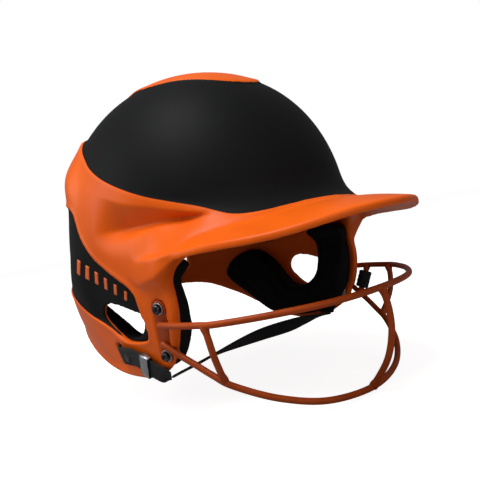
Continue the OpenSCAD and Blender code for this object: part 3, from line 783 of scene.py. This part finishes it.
def thinned(piece):
    """The piece with fewer triangles where its surface is flat."""
    triangles = 2 * len(piece.data.polygons)
    if triangles > MOST_TRIANGLES:
        decimate = piece.modifiers.new("thin", "DECIMATE")
        decimate.ratio = MOST_TRIANGLES / triangles
        depsgraph = bpy.context.evaluated_depsgraph_get()
        mesh = bpy.data.meshes.new_from_object(piece.evaluated_get(depsgraph))
        piece.modifiers.clear()
        piece.data = mesh
    return piece


def make_shell():
    """The shell's skin, with what its paint needs to know at each point."""
    field = shell_field(*grid(SHELL_LOW, SHELL_HIGH, SHELL_STEP))
    points, quads = contour(field, SHELL_LOW, SHELL_STEP)
    piece = thinned(add_piece("shell_skin", points, quads, SHELL_PAINT, ["shell"]))
    mesh = piece.data
    co = np.zeros(len(mesh.vertices) * 3)
    mesh.vertices.foreach_get("co", co)
    co = co.reshape(-1, 3) / MM
    px, py, pz = co.T
    depth = plain(px, py, pz) + scoop(px, py, pz)
    zone = np.maximum(dome_zone(px, py, pz), panel_zone(px, pz))
    on_brim = (px > BRIM_TEMPLE[0]) & (pz < 60)
    zone = np.minimum(zone, np.where(on_brim, FAR_INSIDE, depth + PAINT_REACH + PANEL_DEPTH))
    set_attributes(mesh, zone=zone, inner=ease(-(depth + INSIDE_START) / INSIDE_FADE))
    mesh.polygons.foreach_set("use_smooth", [True] * len(mesh.polygons))
    mesh.normals_split_custom_set_from_vertices(field_normals(field, SHELL_LOW, SHELL_STEP, co))
    return piece


make_shell()


# ------------------------------------------------------------------- pads
PAD_GAP = 0.4
PAD_STEP = 1.6
PAD_BACK_ROUND = 1.6
# A pad is thinner at its rim than in its middle, with a moulded channel a little way in.
PAD_RIM_SHARE, PAD_CROWN_SHARE, PAD_CROWN_RUN = 0.96, 0.09, 14
CHANNEL_DEPTH, CHANNEL_IN, CHANNEL_REACH = 1.3, 8.5, 1.5
# U-shaped outline in the side view, round the ear.
JAW_PAD = closed_curve([
    [62, 37], [62, 22], [61.5, 8], [59, -5], [55, -14], [49, -22], [41, -29], [30, -33.5],
    [16, -36], [0, -37], [-16, -36.5], [-30, -33], [-44, -25.5], [-58, -16], [-70, -7], [-77, 0],
    [-79, 6], [-77, 13], [-72, 18.5], [-64, 22], [-55, 22.5], [-46, 19.5], [-35, 12], [-26, 5],
    [-17, -3], [-8, -10], [0, -12.5], [9, -12.5], [16, -10.5], [21, -8], [26, -4], [29, 2],
    [30, 12], [28, 21], [22, 28], [22, 36],
], 3)
JAW_PAD_THICKNESS, JAW_PAD_ROUND = 15.0, 4.5
# Share of that thickness at each height.
JAW_PAD_SHARES = np.array([[-40, 0.9], [-28, 1], [-5, 1], [12, 0.85], [26, 0.6], [32, 0.85], [40, 0.9]])
SIDE_PAD = closed_curve([
    [-82, 40], [-80, 34], [-73, 29.5], [-60, 28.3], [-45, 28], [-30, 29.5], [-20, 32.5], [-14, 38],
    [-13, 47], [-18, 60], [-28, 71], [-45, 77], [-62, 75], [-76, 66], [-82, 53],
])
SIDE_PAD_THICKNESS, SIDE_PAD_ROUND = 9.0, 5.0
HEAD_PAD_THICKNESS, HEAD_PAD_ROUND = 13.0, 6.0
CROWN_PAD_HALF = (62, 40)
FOREHEAD_PAD_Z, FOREHEAD_PAD_HALF, FOREHEAD_PAD_CORNER = 66, (62, 16), 6
REAR_PAD_Z, REAR_PAD_HALF, REAR_PAD_CORNER = 65, (52, 27), 9
# Pocket behind the strap's far tab.
POCKET_X, POCKET_HALF, POCKET_TOP, POCKET_DEPTH = 33, 9, -11, 9.5


def pad_field(x, y, z, rim, thickness, roundness):
    """Foam between the shell and the head, crowned, and rounded at its rim.
    rim is the distance from the pad's outline, below nought inside it."""
    form = plain(x, y, z) + scoop(x, y, z) + WALL + PAD_GAP
    crown = PAD_RIM_SHARE + PAD_CROWN_SHARE * ease(-rim / PAD_CROWN_RUN)
    channel = CHANNEL_DEPTH * bell(rim + CHANNEL_IN, CHANNEL_REACH)
    inner_face = -(form + thickness * crown - channel)
    return soft_max(soft_max(inner_face, rim, roundness), form, PAD_BACK_ROUND)


def right_jaw_pad(x, y, z):
    """The plain jaw pad, which is made on the left and then mirrored."""
    shares = np.interp(z, JAW_PAD_SHARES[:, 0], JAW_PAD_SHARES[:, 1])
    rim = outline_field(JAW_PAD, x, z)
    return pad_field(x, y, z, rim, JAW_PAD_THICKNESS * shares, JAW_PAD_ROUND)


def left_jaw_pad(x, y, z):
    """The jaw pad with a pocket in its back for the strap's far tab."""
    pocket = np.maximum(np.abs(x - POCKET_X) - POCKET_HALF, z - POCKET_TOP)
    pocket = np.maximum(pocket, -(plain(x, y, z) + POCKET_DEPTH))
    return soft_max(right_jaw_pad(x, y, z), -pocket, 1.0)


def side_pad(x, y, z):
    return pad_field(x, y, z, outline_field(SIDE_PAD, x, z), SIDE_PAD_THICKNESS, SIDE_PAD_ROUND)


def crown_pad(x, y, z):
    length, width = CROWN_PAD_HALF
    rim = (np.hypot((x - CENTRE_X) / length, y / width) - 1) * width
    return pad_field(x, y, z, rim, HEAD_PAD_THICKNESS, HEAD_PAD_ROUND)


def forehead_pad(x, y, z):
    rim = box_field(y, z - FOREHEAD_PAD_Z, FOREHEAD_PAD_HALF, FOREHEAD_PAD_CORNER)
    return pad_field(x, y, z, rim, HEAD_PAD_THICKNESS, HEAD_PAD_ROUND)


def rear_pad(x, y, z):
    rim = box_field(y, z - REAR_PAD_Z, REAR_PAD_HALF, REAR_PAD_CORNER)
    return pad_field(x, y, z, rim, HEAD_PAD_THICKNESS, HEAD_PAD_ROUND)


def make_pad(name, node, field, low, high, mirror=False):
    """One pad from its field in a box. A mirrored one is made on the left first."""
    part = contour(field(*grid(low, high, PAD_STEP)), low, PAD_STEP)
    if mirror:
        part = mirrored((part[0], part[1].tolist()))
    add_piece(name, *part, FOAM, [node])


def make_pads():
    jaw_box = (-86, 20, -44), (68, 102, 44)
    side_box = (-90, 20, 22), (-6, 104, 84)
    make_pad("jaw_pad_left", "left_jaw_pad", left_jaw_pad, *jaw_box)
    make_pad("jaw_pad_right", "right_jaw_pad", right_jaw_pad, *jaw_box, mirror=True)
    make_pad("side_pad_left", "left_side_pad", side_pad, *side_box)
    make_pad("side_pad_right", "right_side_pad", side_pad, *side_box, mirror=True)
    make_pad("crown_pad_foam", "crown_pad", crown_pad, (-72, -48, 110), (66, 48, 172))
    make_pad("forehead_pad_foam", "forehead_pad", forehead_pad, (20, -70, 44), (112, 70, 90))
    make_pad("rear_pad_foam", "rear_pad", rear_pad, (-126, -60, 30), (-40, 60, 100))


make_pads()


# ------------------------------------------------------------ face guard
CENTRE_UPRIGHT = [[151, 0, 1.2], [153.5, 0, -12], [152.5, 0, -27], [146, 0, -44], [132.2, 0, -61.9]]
CHEEK_UPRIGHT = [[93.5, 91, 0], [94.5, 90.2, -9], [93.5, 87.4, -21], [88.5, 79.8, -37]]
SIDE_UPRIGHT = np.array([[70.5, 95.75, 0], [64, 89.05, -21.7]])
SLEEVE_SPAN, SLEEVE_RADIUS, SLEEVE_RINGS = (0.22, 0.79), 5.0, (0.25, 0.5, 0.75)
WELD_SIZE, WELD_REACH = 0.7, 2.0


def both_sides(half):
    """A wire from the left flap to the middle, and on to the right flap."""
    return half + [[p[0], -p[1], p[2]] for p in half[-2::-1]]


def weld_radii(path):
    """Wire radius along an upright, swelling into the weld bead at each end."""
    walk = distances(path)
    ends = np.minimum(walk, walk[-1] - walk)
    return WIRE_RADIUS + WELD_SIZE * np.exp(-(np.maximum(ends - WIRE_RADIUS, 0) / WELD_REACH) ** 2)


def guard_wire(half):
    """A long wire, a little thinner where it is cut off."""
    path = curve_through(both_sides(half), 10)
    radii = np.full(len(path), WIRE_RADIUS)
    radii[0] = radii[-1] = WIRE_RADIUS * 0.8
    return tube(path, radii, (0, 0, 1))


def upright(points, steps, reference):
    """A short wire with a weld bead at each end."""
    path = curve_through(points, steps)
    return tube(path, weld_radii(path), reference)


def make_guard():
    cheek = upright(CHEEK_UPRIGHT, 12, (1, 0, 0))
    centre = upright(CENTRE_UPRIGHT, 10, (0, 1, 0))
    side = upright(SIDE_UPRIGHT, 16, (1, 0, 0))
    add_piece("wire_upper", *guard_wire(UPPER_HALF), SHADED_GUARD_PAINT, ["guard_upper_wire"])
    add_piece("wire_lower", *guard_wire(LOWER_HALF), SHADED_GUARD_PAINT, ["guard_lower_wire"])
    add_piece("upright_centre", *centre, SHADED_GUARD_PAINT, ["guard_centre_upright"])
    add_piece("upright_side_left", *side, SHADED_GUARD_PAINT, ["left_side_upright"])
    add_piece("upright_cheek_left", *cheek, SHADED_GUARD_PAINT, ["left_cheek_upright"])
    add_piece("upright_cheek_right", *mirrored(cheek), SHADED_GUARD_PAINT, ["right_cheek_upright"])


def make_sleeve():
    """A rubber tube with a rounded lip at each end and three shallow rings."""
    low, high = (SIDE_UPRIGHT[0] * (1 - s) + SIDE_UPRIGHT[1] * s for s in SLEEVE_SPAN)
    length, r = np.linalg.norm(high - low), SLEEVE_RADIUS
    inner = WIRE_RADIUS + 0.2
    outer = [(r - 0.9, 0), (r - 0.25, 0.2), (r, 0.9)]
    for middle in (share * length for share in SLEEVE_RINGS):
        outer += [(r, middle - 0.7), (r - 0.3, middle), (r, middle + 0.7)]
    outer += [(r, length - 0.9), (r - 0.25, length - 0.2), (r - 0.9, length)]
    profile = outer + [(inner + 0.3, length), (inner, length - 0.4), (inner, 0.4), (inner + 0.3, 0)]
    points, faces = lathe(profile, 40, closed=True)
    add_piece("sleeve_left_rubber", stand_on(points, low, high - low), faces, SLEEVE_RUBBER,
              ["left_sleeve"])


make_guard()
make_sleeve()


# --------------------------------------------------------- guard hardware
SOCKET_ROWS = (0, 1)
PLATE_SINK, PLATE_HALF = 1.6, 5.0


def socket_screw():
    """Pan head with a hexagon socket, on a plain shank."""
    profile = [(1.7, 2.1), (1.7, 3.3), (2.1, 3.45), (2.5, 3.4), (2.85, 3.15), (3.05, 2.7),
               (3.1, 2.2), (3.1, 1.3), (2.0, 1.25), (2.0, -7.4), (1.6, -7.7)]
    return lathe(profile, 48, SOCKET_ROWS)


def washer():
    """Flat washer with rolled edges."""
    profile = [(2.35, 0.35), (2.35, 1.05), (3.8, 1.1), (4.05, 0.9), (4.05, 0.45), (3.85, 0.3)]
    return lathe(profile, 48, closed=True)


def tee_nut():
    """Round flange with a barrel, in the back of the jaw pad."""
    profile = [(2.05, -5.25), (5.3, -5.2), (5.5, -5.45), (5.5, -6.2), (5.3, -6.4), (2.9, -6.45),
               (2.8, -8.5), (2.6, -8.6), (2.05, -8.6)]
    return lathe(profile, 48, closed=True)


def at_screws(part):
    """The part at the four screws of both flaps."""
    points, faces = part
    left = [(stand_on(points, p, w), faces) for p, w in zip(SCREW_POINTS, SCREW_WAYS)]
    return join_parts(left + [mirrored(p) for p in left])


def guard_plate():
    """Bar with round ends under the two screws of the left flap, with eased edges."""
    steps = 24
    rows = [(-0.6, -PLATE_SINK), (0, -PLATE_SINK + 0.4), (0, -0.4), (-0.4, 0), (-1.2, 0.05)]
    points = []
    (a, b), (wa, wb) = SCREW_POINTS, SCREW_WAYS
    along = unit(b - a)
    for grow, lift in rows:
        ring = []
        for end, way, start in ((a, wa, 90), (b, wb, 270)):
            across = unit(np.cross(way, along))
            forward = unit(np.cross(across, way))
            for k in range(steps + 1):
                t = math.radians(start + 180 * k / steps)
                ring.append(end + lift * way + (PLATE_HALF + grow)
                            * (math.cos(t) * forward + math.sin(t) * across))
        points += ring
    return np.array(points), ring_faces(len(rows), 2 * (steps + 1))


def make_hardware():
    add_piece("screws_socket", *at_screws(outward(socket_screw())), DARK_STEEL, ["guard_screws"])
    add_piece("washers_plated", *at_screws(outward(washer())), BRIGHT_STEEL, ["guard_washers"])
    add_piece("nuts_tee", *at_screws(outward(tee_nut())), BRIGHT_STEEL, ["guard_nuts"])
    plate = guard_plate()
    add_piece("plate_left", *plate, SHADED_GUARD_PAINT, ["left_guard_plate"])
    add_piece("plate_right", *mirrored(plate), SHADED_GUARD_PAINT, ["right_guard_plate"])


make_hardware()


# ------------------------------------------------------------- chin strap
STRAP_WIDTH, STRAP_THICKNESS = 14.0, 1.8
# Each route has the direction of the webbing's width at its points.
STRAP_CROSS = [[43, -82.4, -36.4], [41, -66, -35.4], [37, -44, -34.2], [33, -18, -34], [31, 8, -34.6],
               [32, 38, -35.8], [33, 60, -36.4], [33.5, 76.5, -36.6]]
STRAP_CROSS_WAYS = [[0.94, 0, 0.36], [0.95, 0, 0.33], [0.92, 0, 0.4], [0.75, 0, 0.66], [0.6, 0, 0.8],
                    [0.6, 0, 0.8], [0.85, 0, 0.5], [1, 0, 0.1]]
NEAR_TAB = [[-8.5, -89.2, -24], [-8.3, -91.2, -24], [-5.6, -93.6, -24], [2, -94.2, -24],
            [10, -94.4, -24], [18, -94.3, -25.6], [26, -93.8, -28.6], [33, -92.4, -32],
            [39, -90.2, -34.8], [42.2, -86.8, -36.1]]
NEAR_TAB_WAYS = [[0, -0.1, 1], [0, -0.2, 1], [0, -0.26, 1], [0, -0.26, 1], [0, -0.26, 1],
                 [0.2, -0.24, 1], [0.5, -0.2, 0.9], [0.5, -0.2, 0.9], [0.7, -0.1, 0.7],
                 [0.94, 0, 0.36]]
FAR_TAB = [[33, 86, -15], [33, 84.9, -24], [33.2, 82.9, -31], [33.4, 79.2, -35.9]]
FAR_TAB_WAYS = [[1, 0, 0]] * len(FAR_TAB)
STRAP_STEPS, STRAP_COLUMNS = 10, 9
# Share of the half width that rolls down to the selvedge, and its thickness there.
SELVEDGE, SELVEDGE_SHARE = 0.12, 0.35


def webbing_part(points, ways):
    """Flat webbing with rolled selvedges. Gives points, faces, path, and two attributes."""
    path = curve_through(points, STRAP_STEPS)
    way = curve_through(ways, STRAP_STEPS)
    t = headings(path)
    w = unit(way - (way * t).sum(1, keepdims=True) * t)
    n = np.cross(t, w)
    s = np.linspace(1, -1, STRAP_COLUMNS)
    edge = np.clip((1 - np.abs(s)) / SELVEDGE, 0, 1)
    rolled = SELVEDGE_SHARE + (1 - SELVEDGE_SHARE) * np.sqrt(1 - (1 - edge) ** 2)
    high = STRAP_THICKNESS / 2 * rolled
    across = np.concatenate([s, s[::-1]]) * STRAP_WIDTH / 2
    lift = np.concatenate([high, -high[::-1]])
    rings = path[:, None] + across[None, :, None] * w[:, None] + lift[None, :, None] * n[:, None]
    sides = len(across)
    return (rings.reshape(-1, 3), ring_faces(len(path), sides), path,
            np.repeat(distances(path), sides), np.tile(across, len(path)))


def make_webbing(name, node, points, ways, body="helmet"):
    """A piece of webbing, and its path."""
    rings, faces, path, along, across = webbing_part(points, ways)
    return add_piece(name, rings, faces, WEBBING, [node], body, along=along, across=across), path


KEEPER_CENTRE = np.array([26, -93.8, -28.6])
KEEPER_WAY = unit(np.array([0.9, 0.1, -0.42]))
KEEPER_ACROSS = np.array([0.5, -0.2, 0.9])
KEEPER_LENGTH, KEEPER_WALL, KEEPER_PLAY = 8.0, 0.8, 0.7
KEEPER_EASE, KEEPER_CORNER, KEEPER_SIDES = 0.25, 0.7, 40


def make_keeper():
    """Bent sheet-metal loop round the webbing, with eased corners."""
    t = KEEPER_WAY
    w = unit(KEEPER_ACROSS - (KEEPER_ACROSS @ t) * t)
    n = np.cross(t, w)
    inner = np.array([STRAP_WIDTH, STRAP_THICKNESS]) / 2 + KEEPER_PLAY
    half = KEEPER_LENGTH / 2
    upper = [(0, half - KEEPER_EASE), (KEEPER_EASE, half),
             (KEEPER_WALL - KEEPER_EASE, half), (KEEPER_WALL, half - KEEPER_EASE)]
    rows = upper + [(grow, -along) for grow, along in reversed(upper)]
    points = []
    for grow, along in rows:
        corner = KEEPER_CORNER + grow
        for k in range(KEEPER_SIDES):
            a = 2 * math.pi * (k + 0.5) / KEEPER_SIDES
            quarter = np.sign([math.cos(a), math.sin(a)])
            round_part = corner * np.array([math.cos(a), math.sin(a)])
            u, v = quarter * (inner + grow - corner) + round_part
            points.append(KEEPER_CENTRE + u * w + v * n + along * t)
    faces = ring_faces(len(rows), KEEPER_SIDES, closed=True)
    return add_piece("keeper_loop", *outward((np.array(points), faces)), BRIGHT_STEEL,
                     ["strap_keeper"], "keeper")


# Each rivet: x and z, then y at its head and at its inner end.
RIVETS = [((5, -24), (-96.0, -88.2)), ((33, -20), (93.2, 84.2))]


def make_rivets():
    """A low round head and a shank for each strap rivet."""
    parts = []
    for (x, z), (head, inner) in RIVETS:
        reach = abs(head - inner)
        profile = [(0.05, 0), (1.6, -0.05), (2.8, -0.3), (3.4, -0.75), (3.5, -1.2), (1.5, -1.2),
                   (1.5, -reach)]
        points, faces = lathe(profile, 36)
        parts.append((stand_on(points, (x, head, z), (0, np.sign(head), 0)), faces))
    add_piece("rivets_domed", *outward(join_parts(parts)), DARK_STEEL, ["strap_rivets"])


def make_strap():
    """The strap's two tabs, its band from one tab to the other on its own body, and the keeper."""
    near, _ = make_webbing("strap_tab_near", "near_strap_tab", NEAR_TAB, NEAR_TAB_WAYS)
    far, _ = make_webbing("strap_tab_far", "far_strap_tab", FAR_TAB, FAR_TAB_WAYS)
    strap, path = make_webbing("strap_band", "chin_strap", STRAP_CROSS, STRAP_CROSS_WAYS, "strap")
    keeper = make_keeper()


make_strap()
make_rivets()


# ----------------------------------------------------------------- emblem
EMBLEM_START, EMBLEM_END = np.array([-30.0, 41.0]), np.array([23.0, 19.0])
EMBLEM_BARS, EMBLEM_LIFT, EMBLEM_SINK = 6, 0.45, -0.6
EMBLEM_LEAN = np.array([0.45, 1.0])
# Length and width of the rear bar, and how much smaller the front one is.
EMBLEM_BAR, EMBLEM_SHRINK = np.array([11.0, 4.6]), np.array([4.5, 2.0])
# The side surface lies between these, and is found by halving that span.
NEAREST_Y, FARTHEST_Y, HALVINGS = 60.0, 112.0, 24


def surface_y(x, z):
    """How far out the styled side surface is at a place in the side view."""
    low, high = np.full(x.shape, NEAREST_Y), np.full(x.shape, FARTHEST_Y)
    edge, panel = outline_field(BELOW_EDGE, x, z), panel_zone(x, z)
    for _ in range(HALVINGS):
        y = (low + high) / 2
        dome = dome_zone(x, y, z)
        out = plain(x, y, z) + scoop(x, y, z) - styling(x, y, z, dome, panel, edge) > 0
        high = np.where(out, y, high)
        low = np.where(out, low, y)
    return high


def emblem_bar(middle, length, width):
    """One slanted bar of paint, as a thin patch that follows the panel."""
    run = unit(EMBLEM_END - EMBLEM_START)
    lean = unit(EMBLEM_LEAN)
    along, up = np.linspace(-0.5, 0.5, 5), np.linspace(-0.5, 0.5, 11)
    flat = np.array([middle + a * width * run + u * length * lean for u in up for a in along])
    parts = []
    for lift in (EMBLEM_LIFT, EMBLEM_SINK):
        y = surface_y(flat[:, 0], flat[:, 1]) + lift
        parts.append(np.stack([flat[:, 0], y, flat[:, 1]], 1))
    n, m, faces = len(along), len(up), []
    for j in range(m - 1):
        for i in range(n - 1):
            a = j * n + i
            faces.append((a, a + n, a + n + 1, a + 1))
            faces.append(tuple(k + n * m for k in (a, a + 1, a + n + 1, a + n)))
    rim = (list(range(n)) + [j * n + n - 1 for j in range(1, m)]
           + [m * n - 2 - i for i in range(n - 1)] + [j * n for j in range(m - 2, 0, -1)])
    for a, b in zip(rim, rim[1:] + rim[:1]):
        faces.append((a, b, b + n * m, a + n * m))
    return np.concatenate(parts), faces


def make_emblem():
    """A generic row of slanted bars that grow shorter towards the front."""
    parts = []
    for k in range(EMBLEM_BARS):
        share = k / (EMBLEM_BARS - 1)
        middle = EMBLEM_START + (EMBLEM_END - EMBLEM_START) * share
        parts.append(emblem_bar(middle, *(EMBLEM_BAR - EMBLEM_SHRINK * share)))
    left = join_parts(parts)
    add_piece("emblem_left", *left, EMBLEM_PAINT, slot="shell_paint")
    add_piece("emblem_right", *mirrored(left), EMBLEM_PAINT, slot="shell_paint")


make_emblem()


# ------------------------------------------------------------------ stage
FLOOR_Z, FLOOR_SIZE = -66.0, 9000.0
# What the floor gives back to the object, what it shows of the shadow, and its own white.
FLOOR_DULL, FLOOR_PALE, FLOOR_GLOW = 0.35, 0.6, 0.86
AMBIENT = 0.2
# Name, place, aim, width in metres, and power in watts.
LIGHTS = [
    ("key", (0.15, -0.45, 1.15), (0.03, 0, 0.05), 0.7, 14),
    ("fill", (-0.7, -0.9, 0.55), (0, 0, 0.03), 0.8, 4.0),
    ("front", (1.15, -0.1, 0.5), (0.05, 0, 0.03), 0.6, 1.5),
]


def by_camera(tree, lighting, seen):
    """One shader for the light it gives and another for the plain white it shows."""
    ray = tree.nodes.new("ShaderNodeLightPath")
    mix = tree.nodes.new("ShaderNodeMixShader")
    tree.links.new(ray.outputs["Is Camera Ray"], mix.inputs[0])
    tree.links.new(lighting, mix.inputs[1])
    tree.links.new(seen, mix.inputs[2])
    return mix.outputs[0]


def floor_paint():
    """Dull to the light, and nearly white to the camera, so that a faint shadow shows."""
    material = bpy.data.materials.new("floor_paint")
    material.use_nodes = True
    tree = material.node_tree
    tree.nodes.clear()
    dull, pale = (tree.nodes.new("ShaderNodeBsdfDiffuse") for _ in range(2))
    dull.inputs["Color"].default_value = (FLOOR_DULL, FLOOR_DULL, FLOOR_DULL, 1)
    pale.inputs["Color"].default_value = (FLOOR_PALE, FLOOR_PALE, FLOOR_PALE, 1)
    glow = tree.nodes.new("ShaderNodeEmission")
    glow.inputs["Strength"].default_value = FLOOR_GLOW
    both = tree.nodes.new("ShaderNodeAddShader")
    tree.links.new(pale.outputs[0], both.inputs[0])
    tree.links.new(glow.outputs[0], both.inputs[1])
    output = tree.nodes.new("ShaderNodeOutputMaterial")
    tree.links.new(by_camera(tree, dull.outputs[0], both.outputs[0]), output.inputs["Surface"])
    return material


def make_floor():
    """A floor so wide that it runs into the white backdrop."""
    half = FLOOR_SIZE / 2
    corners = [(-half, -half), (half, -half), (half, half), (-half, half)]
    mesh = bpy.data.meshes.new("floor")
    mesh.from_pydata([(x * MM, y * MM, FLOOR_Z * MM) for x, y in corners], [], [(0, 1, 2, 3)])
    mesh.materials.append(floor_paint())
    floor = bpy.data.objects.new("floor", mesh)
    bpy.context.scene.collection.objects.link(floor)


def add_light(name, place, aim, size, power):
    """A round soft light."""
    data = bpy.data.lights.new(name, "AREA")
    data.shape = "DISK"
    data.size = size
    data.energy = power
    light = bpy.data.objects.new(name, data)
    light.location = place
    light.rotation_mode = "QUATERNION"
    light.rotation_quaternion = (Vector(aim) - Vector(place)).to_track_quat("-Z", "Y")
    bpy.context.scene.collection.objects.link(light)


def make_world():
    """Even light from all round, which the camera sees as plain white."""
    world = bpy.data.worlds.new("studio")
    world.use_nodes = True
    tree = world.node_tree
    ambient = tree.nodes["Background"]
    ambient.inputs["Color"].default_value = (1, 1, 1, 1)
    ambient.inputs["Strength"].default_value = AMBIENT
    white = tree.nodes.new("ShaderNodeBackground")
    white.inputs["Color"].default_value = (1, 1, 1, 1)
    shown = by_camera(tree, ambient.outputs[0], white.outputs[0])
    tree.links.new(shown, tree.nodes["World Output"].inputs["Surface"])
    bpy.context.scene.world = world


make_floor()
make_world()
for light_values in LIGHTS:
    add_light(*light_values)
bpy.context.scene.view_settings.view_transform = "Standard"
